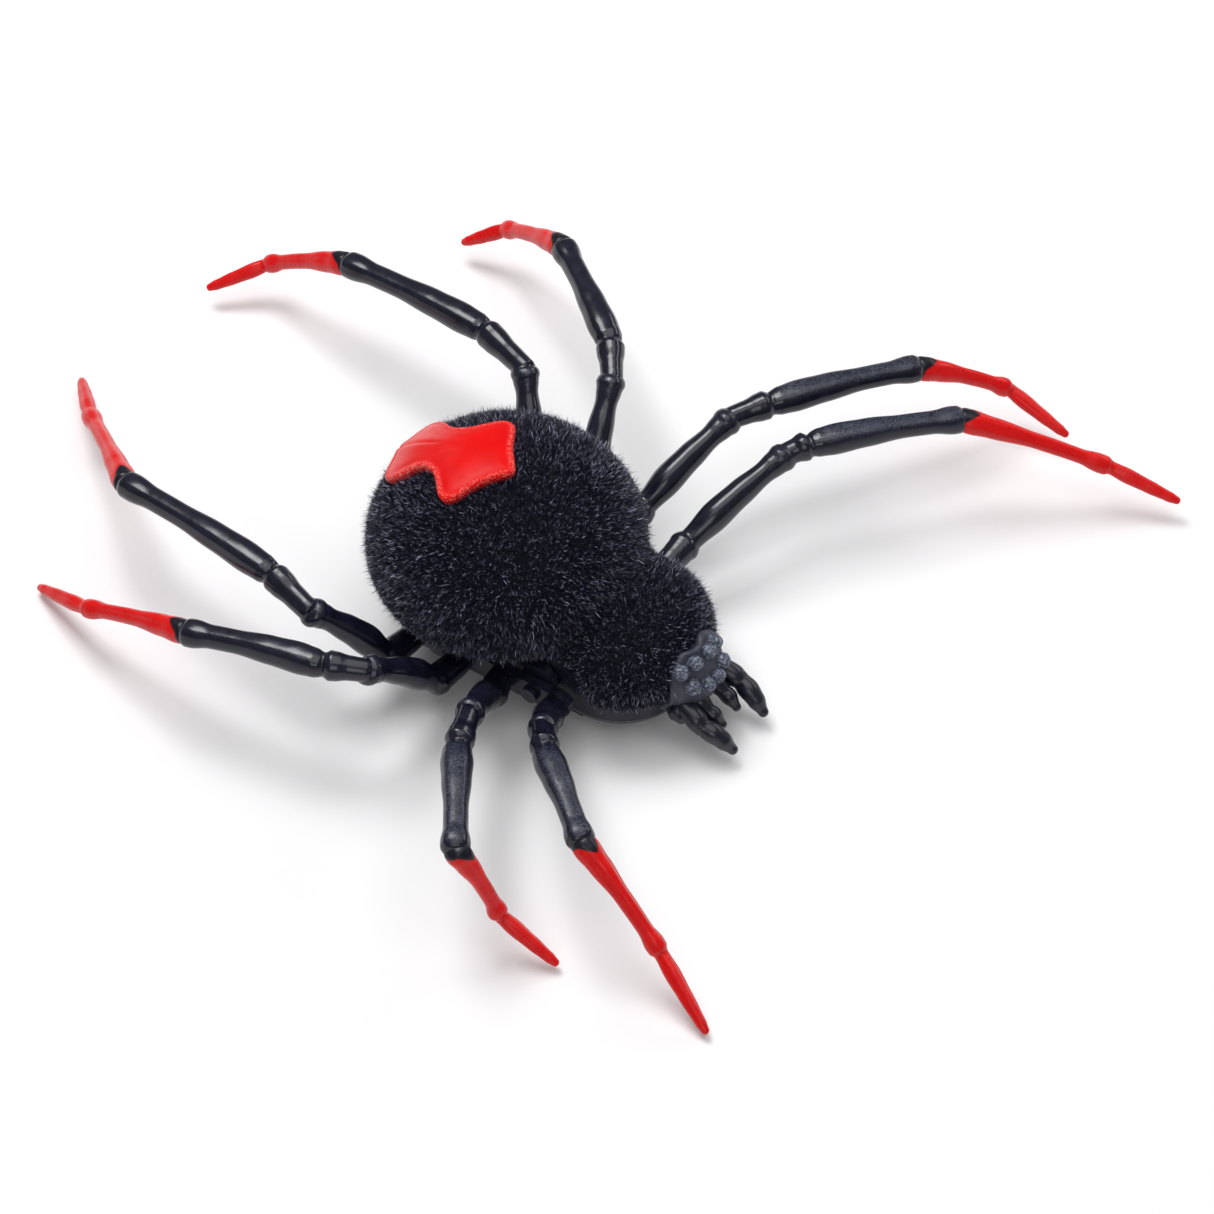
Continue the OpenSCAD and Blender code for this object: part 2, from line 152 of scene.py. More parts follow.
def fuse(name, shells, voxel, material, rounds=3):
    """Joins closed shells into one skin. The voxel size is in millimetres."""
    verts = []
    faces = []
    for shell_verts, shell_faces in shells:
        start = len(verts)
        verts.extend(shell_verts.tolist())
        faces.extend([tuple(start + i for i in f) for f in shell_faces])
    piece = make_piece(name, np.array(verts), faces, material)
    remesh = piece.modifiers.new("remesh", "REMESH")
    remesh.mode = "VOXEL"
    remesh.voxel_size = voxel * MM
    soften = piece.modifiers.new("soften", "SMOOTH")
    soften.factor = 0.5
    soften.iterations = rounds
    apply_modifiers(piece)
    return piece


def mesh_points(piece):
    co = np.empty(len(piece.data.vertices) * 3)
    piece.data.vertices.foreach_get("co", co)
    return co.reshape(-1, 3) / MM


def set_mask(piece, u, v):
    """Stores two numbers per vertex in a UV map that the materials read."""
    mesh = piece.data
    layer = mesh.uv_layers.new(name="mask")
    index = np.empty(len(mesh.loops), int)
    mesh.loops.foreach_get("vertex_index", index)
    layer.data.foreach_set("uv", np.stack([u[index], v[index]], axis=-1).ravel())


# ---- Limbs ----

RING = 28


def limb_axes(start, end):
    along = unit(end - start)
    up = np.array([0, 0, 1.0])
    up = unit(up - up.dot(along) * along)
    return along, up, np.cross(along, up)


def limb_shell(start, end, profile, bow=0.0, section=None, depth=0.55):
    """One closed shell from start to end: profile holds (fraction, radius), bow lifts the middle."""
    start = np.array(start, float)
    end = np.array(end, float)
    along, up, side = limb_axes(start, end)
    length = np.linalg.norm(end - start)
    ts = np.array([p[0] for p in profile])
    rs = np.array([p[1] for p in profile])
    stations = np.linspace(0, 1, max(16, int(length / 0.45)))
    k = np.clip(np.searchsorted(ts, stations, side="right") - 1, 0, len(ts) - 2)
    f = (stations - ts[k]) / (ts[k + 1] - ts[k])
    radii = rs[k] + (rs[k + 1] - rs[k]) * (1 - np.cos(math.pi * np.clip(f, 0, 1))) / 2
    cap = np.linspace(0.25, 0.97, 4) * math.pi / 2
    offsets = stations * length
    offsets = np.concatenate([-depth * rs[0] * np.sin(cap[::-1]), offsets, length + depth * rs[-1] * np.sin(cap)])
    radii = np.concatenate([rs[0] * np.cos(cap[::-1]), radii, rs[-1] * np.cos(cap)])
    angles = np.arange(RING) * 2 * math.pi / RING
    verts = []
    for offset, radius in zip(offsets, radii):
        t = offset / length
        middle = start + along * offset + up * bow * math.sin(math.pi * min(max(t, 0), 1))
        shape = section(angles, t) if section else np.ones(RING)
        ring = radius * shape
        verts.append(middle + np.outer(ring * np.cos(angles), up) + np.outer(ring * np.sin(angles), side))
    rows = len(verts)
    faces = grid_faces(rows, RING, flip=True)
    faces.append(tuple(range(RING)))
    faces.append(tuple(range((rows - 1) * RING, rows * RING))[::-1])
    return np.concatenate(verts), faces


def limb_coords(points, start, end):
    """Fraction along a limb, angle from its top and distance from its line, for every point."""
    start = np.array(start, float)
    end = np.array(end, float)
    along, up, side = limb_axes(start, end)
    d = points - start
    t = d @ along / np.linalg.norm(end - start)
    across = d - np.outer(d @ along, along)
    return t, np.arctan2(across @ side, across @ up), np.linalg.norm(across, axis=1)


def bump_at(angles, centre, width):
    gap = (angles - centre + math.pi) % (2 * math.pi) - math.pi
    return np.exp(-(gap / width) ** 2)


def flat_top(angles, t):
    """Shin section: flattened above, with a soft keel below."""
    grooves = bump_at(angles, 1.2, 0.22) + bump_at(angles, -1.2, 0.22)
    return 1 - 0.12 * bump_at(angles, 0, 0.6) - 0.05 * grooves + 0.06 * bump_at(angles, math.pi, 0.35)


def keeled(angles, t):
    """Thigh section: a soft ridge above and below."""
    return 1 + 0.05 * bump_at(angles, 0.25, 0.4) + 0.07 * bump_at(angles, math.pi - 0.3, 0.3) \
        - 0.05 * bump_at(angles, math.pi / 2, 0.6)


def fluted(angles, t):
    """Red end section: a raised rib on top between two grooves."""
    strength = math.sin(math.pi * min(max(t, 0), 1)) ** 0.6
    groove = bump_at(angles, 0.75, 0.25) + bump_at(angles, -0.75, 0.25)
    return 1 + strength * (0.05 * bump_at(angles, 0, 0.35) - 0.16 * groove)


KNOB = [(0, 2.5), (0.35, 2.75), (0.7, 2.9), (0.9, 3.2), (1, 3.0)]
THIGH = [(0, 2.2), (0.06, 2.4), (0.3, 3.0), (0.55, 2.7), (0.78, 2.25), (0.9, 2.6), (0.965, 3.0), (1, 2.8)]
KNEE = [(0, 2.2), (0.15, 2.3), (0.45, 2.4), (0.8, 2.85), (0.94, 2.95), (1, 2.6)]
SHIN = [(0, 2.5), (0.04, 2.85), (0.16, 3.1), (0.35, 2.85), (0.62, 2.35), (0.8, 2.35), (0.94, 2.85), (0.985, 2.8),
        (1, 2.45)]
RED_LONG = [(0, 2.4), (0.06, 2.55), (0.2, 2.25), (0.5, 1.65), (0.8, 1.55), (0.93, 2.0), (0.98, 1.95), (1, 1.6)]
RED_SHORT = [(0, 1.2), (0.08, 1.4), (0.3, 1.6), (0.6, 1.4), (0.9, 1.1), (1, 0.8)]

STIPPLE = [0.85, 0.75, 0.08, 0.05]        # how strong the matte stipple is on each shin, front to rear
HIP_X = [9.5, -3, -11.5, -22.3]
HIP_Y = 18.9
SIDES = {
    "left": (1, 12.5, "left_walker", [
        [[10, 25, 13], [18, 49, 22], [21, 53, 23], [41, 76, 21], [67, 90, 10], [81, 94, 4.5]],
        [[-2, 28, 13], [4, 51, 22], [9, 58, 23], [27, 83, 21], [40, 97, 10], [54, 97, 4.5]],
        [[-13, 26, 13], [-19, 44, 26], [-24, 51, 27], [-47, 69, 25], [-67, 78, 11], [-76, 75, 4.5]],
        [[-24, 24, 13], [-34, 36, 27], [-47, 41, 26], [-82, 44, 22], [-103, 45, 9], [-112, 36, 4.5]]]),
    "right": (-1, 9.5, "right_walker", [
        [[10, -22, 9.5], [16, -33, 21], [20, -38, 23], [38, -53, 25], [57, -56, 9], [71, -62, 1.5]],
        [[-2, -23, 9.5], [3, -38, 22], [6, -46, 23], [20, -67, 25], [28, -65, 9], [40, -64, 1.5]],
        [[-13, -26, 9], [-18, -41, 24], [-25, -45, 25], [-53, -50, 21], [-79, -48, 9], [-94, -44, 1.5]],
        [[-24, -26, 9], [-35, -35, 24], [-46, -32, 25], [-84, -27, 22], [-109, -7, 8], [-120, 4, 1.5]]]),
}


def towards(a, b, distance):
    a = np.array(a, float)
    return a + unit(np.array(b, float) - a) * distance


def build_leg(side, index, joints):
    sign, hip_z, body, _ = SIDES[side]
    hip = [HIP_X[index], sign * HIP_Y, hip_z]
    knob, knee, knee_end, red, foot, tip = joints
    shells = [
        limb_shell(hip, towards(knob, hip, -0.6), KNOB),
        limb_shell(towards(knob, knee, 0.6), towards(knee, knob, 0.3), THIGH, bow=0.9, section=keeled, depth=0.35),
        limb_shell(towards(knee, knee_end, -0.4), towards(knee_end, knee, 0.9), KNEE, section=keeled, depth=0.35),
        limb_shell(towards(knee_end, red, 0.2), red, SHIN, bow=0.8, section=flat_top, depth=0.4),
    ]
    leg = fuse(f"{side}_leg_{index + 1}_skin", shells, 0.27, leg_black, rounds=2)
    points = mesh_points(leg)
    t, angle, reach = limb_coords(points, knee_end, red)
    on_top = smooth(np.cos(angle), 0.62, 0.95) * smooth(t, 0.0, 0.12) * smooth(-t, -1.02, -0.97) * (reach < 4.5)
    on_top *= STIPPLE[index]
    t2, angle2, reach2 = limb_coords(points, knob, knee)
    thigh_top = 0.3 * smooth(np.cos(angle2), 0.5, 0.9) * smooth(t2, 0.75, 0.95) * (t2 < 1.02) * (reach2 < 4)
    set_mask(leg, np.maximum(on_top, thigh_top), smooth(t, 0.0, 1.0))
    place(leg, body, "leg_rubber", f"{side}_leg_{index + 1}")

    shells = [
        limb_shell(towards(red, foot, 0.2), towards(foot, red, 0.2), RED_LONG, bow=0.7, section=fluted),
        limb_shell(towards(foot, tip, -0.8), towards(tip, foot, 0.6), RED_SHORT, section=fluted, depth=0.9),
    ]
    end = fuse(f"{side}_tip_{index + 1}_skin", shells, 0.22, tip_red)
    points = mesh_points(end)
    t, angle, reach = limb_coords(points, red, foot)
    run = t * np.linalg.norm(np.array(foot, float) - np.array(red, float))
    patch = 2.6 * np.clip(1 - np.abs(angle) / 1.0, 0, 1) + 0.35
    black = smooth(patch - run, -0.25, 0.25) * (t < 0.5)
    # the mask's Y marks the grooves of the red end, where the red material paints shade
    groove = np.maximum(bump_at(angle, 0.75, 0.22), bump_at(angle, -0.75, 0.22))
    set_mask(end, black, groove * smooth(t, 0.02, 0.2))
    place(end, body, "tip_rubber", f"{side}_tip_{index + 1}")


# ---- Materials ----

class Paint:
    """A principled material with short calls for the nodes that colour it."""

    def __init__(self, name, colour, rough, **sockets):
        self.mat = bpy.data.materials.new(name)
        self.mat.use_nodes = True
        self.nodes = self.mat.node_tree.nodes
        self.links = self.mat.node_tree.links
        self.shader = self.nodes["Principled BSDF"]
        self.shader.inputs["Base Color"].default_value = (*colour, 1)
        self.shader.inputs["Roughness"].default_value = rough
        for key, value in sockets.items():
            self.shader.inputs[key.replace("_", " ")].default_value = value
        self.where = self.nodes.new("ShaderNodeTexCoord").outputs["Object"]

    def speckle(self, grain, detail=3.0):
        """Noise with features about grain millimetres across."""
        node = self.nodes.new("ShaderNodeTexNoise")
        node.inputs["Scale"].default_value = 1 / (grain * MM)
        node.inputs["Detail"].default_value = detail
        self.links.new(self.where, node.inputs["Vector"])
        return node.outputs["Fac"]

    def cells(self, grain, feature="F1"):
        node = self.nodes.new("ShaderNodeTexVoronoi")
        node.feature = feature
        node.inputs["Scale"].default_value = 1 / (grain * MM)
        self.links.new(self.where, node.inputs["Vector"])
        return node.outputs["Distance"]

    def mask(self, channel):
        """One channel of the piece's own mask map: X or Y."""
        node = self.nodes.new("ShaderNodeUVMap")
        node.uv_map = "mask"
        split = self.nodes.new("ShaderNodeSeparateXYZ")
        self.links.new(node.outputs["UV"], split.inputs["Vector"])
        return split.outputs[channel]

    def spread(self, value, low, high, to_low=0.0, to_high=1.0):
        node = self.nodes.new("ShaderNodeMapRange")
        for key, number in (("From Min", low), ("From Max", high), ("To Min", to_low), ("To Max", to_high)):
            node.inputs[key].default_value = number
        self.links.new(value, node.inputs["Value"])
        return node.outputs["Result"]

    def math(self, operation, a, b):
        node = self.nodes.new("ShaderNodeMath")
        node.operation = operation
        for socket, value in zip(node.inputs, (a, b)):
            if isinstance(value, (int, float)):
                socket.default_value = value
            else:
                self.links.new(value, socket)
        return node.outputs["Value"]

    def blend(self, factor, a, b):
        """Mixes two colours, each a tuple or a socket."""
        node = self.nodes.new("ShaderNodeMix")
        node.data_type = "RGBA"
        self.links.new(factor, node.inputs["Factor"])
        for socket, value in ((node.inputs[6], a), (node.inputs[7], b)):
            if isinstance(value, tuple):
                socket.default_value = (*value, 1)
            else:
                self.links.new(value, socket)
        return node.outputs[2]

    def colour(self, socket):
        self.links.new(socket, self.shader.inputs["Base Color"])

    def rough(self, socket):
        self.links.new(socket, self.shader.inputs["Roughness"])

    def bump(self, height, distance, strength=1.0):
        node = self.nodes.new("ShaderNodeBump")
        node.inputs["Distance"].default_value = distance * MM
        node.inputs["Strength"].default_value = strength
        self.links.new(height, node.inputs["Height"])
        self.links.new(node.outputs["Normal"], self.shader.inputs["Normal"])


def glossy_black(name, rough_low, rough_high, tint=(0.008, 0.008, 0.016)):
    """Moulded black plastic: faint mottling in colour and gloss, and a fine ripple."""
    p = Paint(name, tint, rough_low)
    mottle = p.speckle(2.5)
    p.colour(p.blend(p.spread(mottle, 0.3, 0.7), tint, tuple(2.2 * c for c in tint)))
    p.rough(p.spread(p.speckle(1.2), 0.3, 0.7, rough_low, rough_high))
    p.bump(p.speckle(0.9, 2.0), 0.03, 0.5)
    return p.mat


def make_leg_black():
    """Glossy black with a matte blue-grey stipple where the mask says."""
    p = Paint("leg_black", (0.010, 0.010, 0.017), 0.22)
    dots = p.spread(p.speckle(0.34, 2.0), 0.48, 0.60)
    patchy = p.spread(p.speckle(3.0), 0.25, 0.6, 0.45, 1.0)
    stipple = p.math("MULTIPLY", p.math("MULTIPLY", p.mask("X"), dots), patchy)
    base = p.blend(p.spread(p.speckle(2.5), 0.3, 0.7), (0.004, 0.004, 0.011), (0.010, 0.010, 0.024))
    p.colour(p.blend(stipple, base, (0.045, 0.058, 0.105)))
    gloss = p.spread(p.speckle(2.2, 1.0), 0.3, 0.7, 0.17, 0.25)
    p.rough(p.math("ADD", gloss, p.math("MULTIPLY", p.mask("X"), 0.10)))
    p.bump(p.math("ADD", stipple, p.math("MULTIPLY", p.speckle(1.6, 1.0), 0.12)), 0.09, 0.5)
    return p.mat


def make_tip_red():
    """Red rubber: painted shade darkens the red in the grooves; black where the black of the shin runs over it."""
    p = Paint("tip_red", (0.7, 0.006, 0.006), 0.3, Specular_IOR_Level=0.28)
    p.shader.inputs["Subsurface Weight"].default_value = 0.06
    p.shader.inputs["Subsurface Scale"].default_value = 0.001
    p.shader.inputs["Subsurface Radius"].default_value = (1.0, 0.15, 0.1)
    base = p.blend(p.spread(p.speckle(4.0), 0.3, 0.7), (0.62, 0.004, 0.004), (0.68, 0.005, 0.005))
    # painted shade: the red is darkened along the grooves that the mask's Y marks
    base = p.blend(p.math("MULTIPLY", p.mask("Y"), 0.2), base, (0.36, 0.003, 0.004))
    p.colour(p.blend(p.mask("X"), base, (0.008, 0.008, 0.014)))
    p.rough(p.spread(p.speckle(1.5), 0.3, 0.7, 0.24, 0.36))
    p.bump(p.speckle(1.6, 1.0), 0.02, 0.3)
    return p.mat


def make_fur_hair():
    """Pile fibres: the mask's X is a number of each fibre's own, Y runs from root to tip; a few fibres carry painted
    glints as pale blue-white tips.
    """
    p = Paint("fur_hair", (0.02, 0.02, 0.03), 0.34, Specular_IOR_Level=0.7)
    p.shader.inputs["Sheen Weight"].default_value = 0.08
    p.shader.inputs["Sheen Roughness"].default_value = 0.4
    p.shader.inputs["Sheen Tint"].default_value = (0.6, 0.62, 0.95, 1)
    # painted highlight: the fibres with the highest numbers get pale blue-white tips as glints
    glint_fibres = p.spread(p.mask("X"), 0.87, 0.95)
    tip = p.spread(p.mask("Y"), 0.30, 0.85)
    dark = p.blend(p.mask("X"), (0.001, 0.001, 0.005), (0.012, 0.012, 0.042))
    p.colour(p.blend(p.math("MULTIPLY", glint_fibres, tip), dark, (0.74, 0.75, 1.0)))
    return p.mat


def make_fur_skin():
    p = Paint("fur_skin", (0.006, 0.006, 0.01), 0.9)
    p.colour(p.blend(p.spread(p.speckle(0.8), 0.35, 0.65), (0.004, 0.004, 0.007), (0.016, 0.016, 0.024)))
    p.bump(p.speckle(0.5), 0.2)
    return p.mat


def make_badge_red():
    """Hourglass plate: satin red, with a grainy rim where the mask says."""
    p = Paint("badge_red", (0.70, 0.006, 0.005), 0.4)
    grain = p.spread(p.speckle(0.35, 2.0), 0.5, 0.62)
    base = p.blend(p.spread(p.speckle(5.0), 0.3, 0.7), (0.64, 0.003, 0.003), (0.72, 0.004, 0.004))
    rim = p.math("MULTIPLY", p.mask("X"), grain)
    p.colour(p.blend(rim, base, (0.85, 0.15, 0.13)))
    sheen = p.spread(p.mask("Y"), 0.1, 0.75, 0.8, 0.1)
    p.links.new(sheen, p.shader.inputs["Specular IOR Level"])
    p.rough(p.math("ADD", p.spread(p.speckle(1.5), 0.3, 0.7, 0.28, 0.4), p.math("MULTIPLY", p.mask("X"), 0.2)))
    p.bump(p.math("ADD", rim, p.math("MULTIPLY", p.speckle(0.8), 0.2)), 0.06, 0.6)
    return p.mat


def make_head_matte():
    """Matte blue-grey plastic of the face."""
    p = Paint("head_matte", (0.035, 0.037, 0.058), 0.5)
    p.colour(p.blend(p.spread(p.speckle(1.6), 0.3, 0.7), (0.017, 0.018, 0.031), (0.038, 0.041, 0.068)))
    p.rough(p.spread(p.speckle(0.8), 0.3, 0.7, 0.42, 0.58))
    p.bump(p.speckle(0.5, 2.0), 0.05, 0.5)
    return p.mat


def make_eye_frost():
    """Frosted, crystal-like eyes."""
    p = Paint("eye_frost", (0.1, 0.12, 0.17), 0.4)
    glint = p.math("MULTIPLY", p.spread(p.cells(0.45), 0.25, 0.75), p.spread(p.speckle(0.5), 0.4, 0.6))
    p.colour(p.blend(glint, (0.03, 0.034, 0.055), (0.24, 0.28, 0.38)))
    p.rough(p.spread(p.speckle(0.4), 0.3, 0.7, 0.3, 0.55))
    p.bump(p.cells(0.4), 0.12, 0.7)
    return p.mat


def make_feeler_black():
    p = Paint("feeler_black", (0.014, 0.014, 0.022), 0.3)
    p.colour(p.blend(p.spread(p.speckle(1.5), 0.3, 0.7), (0.006, 0.006, 0.013), (0.010, 0.010, 0.022)))
    p.rough(p.spread(p.speckle(2.0, 1.0), 0.3, 0.7, 0.25, 0.32))
    p.bump(p.speckle(2.0, 1.0), 0.01, 0.3)
    return p.mat


def metal(name, colour, low, high, grain=1.0):
    p = Paint(name, colour, low, Metallic=1.0)
    p.colour(p.blend(p.spread(p.speckle(grain * 2), 0.3, 0.7), colour, tuple(0.7 * c for c in colour)))
    p.rough(p.spread(p.speckle(grain), 0.3, 0.7, low, high))
    p.bump(p.speckle(grain * 0.4), 0.01, 0.4)
    return p.mat


def dull(name, colour, low, high, grain=1.5):
    p = Paint(name, colour, low)
    p.colour(p.blend(p.spread(p.speckle(grain), 0.3, 0.7), colour, tuple(0.75 * c for c in colour)))
    p.rough(p.spread(p.speckle(grain), 0.3, 0.7, low, high))
    p.bump(p.speckle(grain * 0.5), 0.02, 0.4)
    return p.mat


leg_black = make_leg_black()
tip_red = make_tip_red()

for side_name, side_data in SIDES.items():
    for leg_index, leg_joints in enumerate(side_data[3]):
        build_leg(side_name, leg_index, leg_joints)


# ---- Badge: the raised hourglass plate, laid over the abdomen ----

WRAP_R = 27.4
BADGE_SHIFT = -1.0
BADGE_HALF = [(3.0, 0.0), (1.6, 1.9), (-1.0, 5.0), (-3.2, 9.0), (-4.6, 11.0), (-6.4, 11.8), (-8.4, 10.9),
              (-10.4, 8.2), (-12.4, 6.3), (-15.2, 5.6), (-17.6, 6.2), (-19.8, 7.5), (-22.8, 8.5), (-26.0, 8.3),
              (-27.6, 6.6), (-28.0, 0.0)]


def wrap(u, v, height):
    """Point over the abdomen: u runs to the head over the top, v to the left, both along its surface."""
    au = u / WRAP_R
    av = (v + BADGE_SHIFT) / WRAP_R
    n = np.stack([np.sin(au) * np.cos(av), np.sin(av), np.cos(au) * np.cos(av)], axis=-1)
    centre, radii = ABDOMEN
    normal = unit(n / radii)
    return centre + n * radii + normal * np.asarray(height)[..., None]


def round_outline(points, rounds=3):
    """Chaikin's corner cutting: keeps the shape and rounds its corners."""
    p = np.array(points, float)
    for _ in range(rounds):
        q = np.roll(p, -1, axis=0)
        p = np.stack([0.8 * p + 0.2 * q, 0.2 * p + 0.8 * q], axis=1).reshape(-1, 2)
    return p


def badge_outline():
    left = [(u, v) for u, v in BADGE_HALF]
    right = [(u, -v) for u, v in BADGE_HALF[-2:0:-1]]
    return round_outline(left + right)


def edge_distance(points, outline):
    """Distance of plan points inside an outline: positive inside, negative outside."""
    a = outline
    b = np.roll(outline, -1, axis=0)
    best = np.full(len(points), 1e9)
    inside = np.zeros(len(points), bool)
    for (ax, ay), (bx, by) in zip(a, b):
        dx, dy = bx - ax, by - ay
        t = np.clip(((points[:, 0] - ax) * dx + (points[:, 1] - ay) * dy) / (dx * dx + dy * dy + 1e-12), 0, 1)
        best = np.minimum(best, np.hypot(points[:, 0] - ax - t * dx, points[:, 1] - ay - t * dy))
        cross = (ay > points[:, 1]) != (by > points[:, 1])
        slope = dx / np.where(dy == 0, 1e-12, dy)
        inside ^= cross & (points[:, 0] < ax + (points[:, 1] - ay) * slope)
    return np.where(inside, best, -best)


def build_badge():
    """Rings of the outline, shrunk step by step towards its spine, form the top; the wall drops to the skin."""
    outline = badge_outline()
    steps = 160
    closed = np.vstack([outline, outline[:1]])
    run = np.concatenate([[0], np.cumsum(np.linalg.norm(np.diff(closed, axis=0), axis=1))])
    at = np.linspace(0, run[-1], steps, endpoint=False)
    ring = np.stack([np.interp(at, run, closed[:, 0]), np.interp(at, run, closed[:, 1])], axis=-1)
    rows = []
    heights = []
    for height in (-2.0, -1.0, -0.2):
        rows.append(ring)
        heights.append(np.full(steps, height))
    shrink = np.concatenate([np.linspace(0, 0.12, 7), np.linspace(0.16, 1.0, 26)])
    for s in shrink:
        spine = np.stack([np.clip(ring[:, 0], -26.0, 0.0), ring[:, 1] * 0], axis=-1)
        p = ring * (1 - s) + spine * s
        d = np.maximum(edge_distance(p, ring), 0)
        rim = 0.5 * smooth(d, -0.1, 0.4) + 0.15 * np.exp(-((d - 0.75) / 0.35) ** 2) + 0.1 * smooth(d, 1.0, 3.0)
        crease = np.exp(-(p[:, 1] / 0.5) ** 2) * smooth(-p[:, 0], 13, 17)
        ridge = 0.45 * np.exp(-(p[:, 1] / 2.2) ** 2) * smooth(-p[:, 0], 8, 14)
        rows.append(p)
        heights.append(rim + ridge - 0.22 * crease)
    plan = np.concatenate(rows)
    height = np.concatenate(heights)
    verts = wrap(plan[:, 0], plan[:, 1], height)
    faces = grid_faces(len(rows), steps)
    faces.append(tuple(range(steps))[::-1])
    piece = make_piece("hourglass_plate", verts, faces, badge_red)
    d = edge_distance(plan, ring)
    set_mask(piece, smooth(-d, -1.5, -0.9), smooth(plan[:, 0], -30, 3))
    place(piece, "chassis", "red_gloss", "hourglass_badge")
    return ring


badge_red = make_badge_red()
badge_ring = build_badge()


# ---- Fur: a closed skin and its pile ----

def build_skin():
    around = 256
    down = 90
    azimuth = np.arange(around) * 2 * math.pi / around
    low = np.full(around, -1.2)
    high = np.full(around, 1.2)
    for _ in range(30):
        mid = (low + high) / 2
        d = np.stack([np.cos(azimuth) * np.cos(mid), np.sin(azimuth) * np.cos(mid), np.sin(mid)], axis=-1)
        p = BODY_MID + d * body_reach(BODY_MID, d)[:, None]
        above = p[:, 2] > fur_edge(p[:, 0])
        high = np.where(above, mid, high)
        low = np.where(above, low, mid)
    bottom = (low + high) / 2
    rows = []
    for t in np.linspace(0, 1, down):
        angle = 1.565 + (bottom - 1.565) * t
        d = np.stack([np.cos(azimuth) * np.cos(angle), np.sin(azimuth) * np.cos(angle), np.sin(angle)], axis=-1)
        rows.append(BODY_MID + d * body_reach(BODY_MID, d)[:, None])
    verts = np.concatenate(rows)
    outer_faces = grid_faces(down, around, flip=True)
    outer_faces.append(tuple(range(around)))
    inner = verts - 0.7 * body_normal(verts)
    count = len(verts)
    inner_faces = [tuple(count + i for i in f[::-1]) for f in outer_faces]
    last = (down - 1) * around
    hem = []
    for k in range(around):
        a = last + k
        b = last + (k + 1) % around
        hem.append((a, b, b + count, a + count))
    piece = make_piece("fur_skin", np.concatenate([verts, inner]), outer_faces + inner_faces + hem, fur_skin)
    place(piece, "chassis", "fur", "fur_cover")
    return verts, grid_faces(down, around, flip=True)


def face_edge(roll):
    """Half angle of the bare face about +X; roll is 0 at the top and grows to the sides."""
    r = np.abs(np.degrees(roll))
    return 63 + 11 * smooth(r, 4, 26) - 6 * smooth(r, 48, 80) + 17 * smooth(r, 92, 118)


def on_face(p, grow=0.0):
    d = unit(p - FACE)
    angle = np.degrees(np.arccos(np.clip(d[:, 0], -1, 1)))
    roll = np.arctan2(d[:, 1], d[:, 2])
    return angle < face_edge(roll) + grow


def on_badge(p, grow=0.0):
    centre, radii = ABDOMEN
    n = unit((p - centre) / radii)
    u = np.arctan2(n[:, 0], n[:, 2]) * WRAP_R
    v = np.arcsin(np.clip(n[:, 1], -1, 1)) * WRAP_R - BADGE_SHIFT
    top = n[:, 2] > -0.2
    result = np.zeros(len(p), bool)
    idx = np.nonzero(top)[0]
    result[idx] = edge_distance(np.stack([u[idx], v[idx]], axis=-1), badge_ring) > -grow
    return result


def sample_surface(verts, faces, count):
    quads = np.array(faces)
    a, b, c, d = (verts[quads[:, i]] for i in range(4))
    area = np.linalg.norm(np.cross(c - a, d - b), axis=1) / 2
    pick = rng.choice(len(quads), count, p=area / area.sum())
    s, t = rng.random((2, count, 1))
    return (a[pick] * (1 - s) * (1 - t) + b[pick] * s * (1 - t) + c[pick] * s * t + d[pick] * (1 - s) * t)


def build_pile(verts, faces, count, pieces):
    """Fibres as narrow bent blades leaning a little back and down, with a few long stray ones."""
    roots = sample_surface(verts, faces, count)
    roots = roots[~on_face(roots, -1.0)]
    roots = roots[~on_badge(roots, -0.2)]
    n = len(roots)
    normal = body_normal(roots)
    comb = np.tile([-0.06, 0, -0.12], (n, 1))
    comb -= (comb * normal).sum(1, keepdims=True) * normal
    loose = rng.normal(0, 0.32, (n, 3))
    loose -= (loose * normal).sum(1, keepdims=True) * normal
    lean = unit(normal + comb + loose)
    bend = unit(normal + 1.6 * comb + 1.5 * loose)
    long_ones = rng.random(n) > 0.94
    length = rng.uniform(1.1, 1.8, n) + long_ones * rng.uniform(0.5, 1.4, n)
    near_edge = roots[:, 2] - fur_edge(roots[:, 0])
    length *= 0.75 + 0.25 * smooth(near_edge, 0.0, 2.0)
    # each fibre's own number: its dark tone, and for the highest ones a painted glint at the tip; those fibres are
    # also a little wider
    own = rng.random(n)
    width = rng.uniform(0.08, 0.13, n) + 0.04 * smooth(own, 0.8, 0.95)
    across = unit(np.cross(lean, rng.normal(0, 1, (n, 3))))
    base = roots - 0.15 * normal
    mid = base + lean * (0.55 * length)[:, None]
    tip = mid + bend * (0.5 * length)[:, None]
    half = across * (width / 2)[:, None]
    blades = np.stack([base - half, base + half, mid + 0.8 * half, mid - 0.8 * half, tip], axis=1)
    order = rng.permutation(n)
    share = np.array_split(order, pieces)
    up = np.array([0, 0, 0.5, 0.5, 1.0])
    for k, ids in enumerate(share):
        points = blades[ids].reshape(-1, 3)
        starts = np.arange(len(ids)) * 5
        fibre_faces = [(s, s + 1, s + 2, s + 3) for s in starts.tolist()]
        fibre_faces += [(s + 3, s + 2, s + 4) for s in starts.tolist()]
        piece = make_piece(f"fur_pile_{k + 1}", points, fibre_faces, fur_hair)
        set_mask(piece, np.repeat(own[ids], 5), np.tile(up, len(ids)))
        place(piece, "chassis", "fur")


FIBRES = 180000
PILE_PIECES = 5                         # shares the fibres out, so that no one mesh grows too big

fur_skin = make_fur_skin()
fur_hair = make_fur_hair()
skin_verts, skin_faces = build_skin()
build_pile(skin_verts, skin_faces, FIBRES, PILE_PIECES)


# ---- Face, eyes and feelers ----

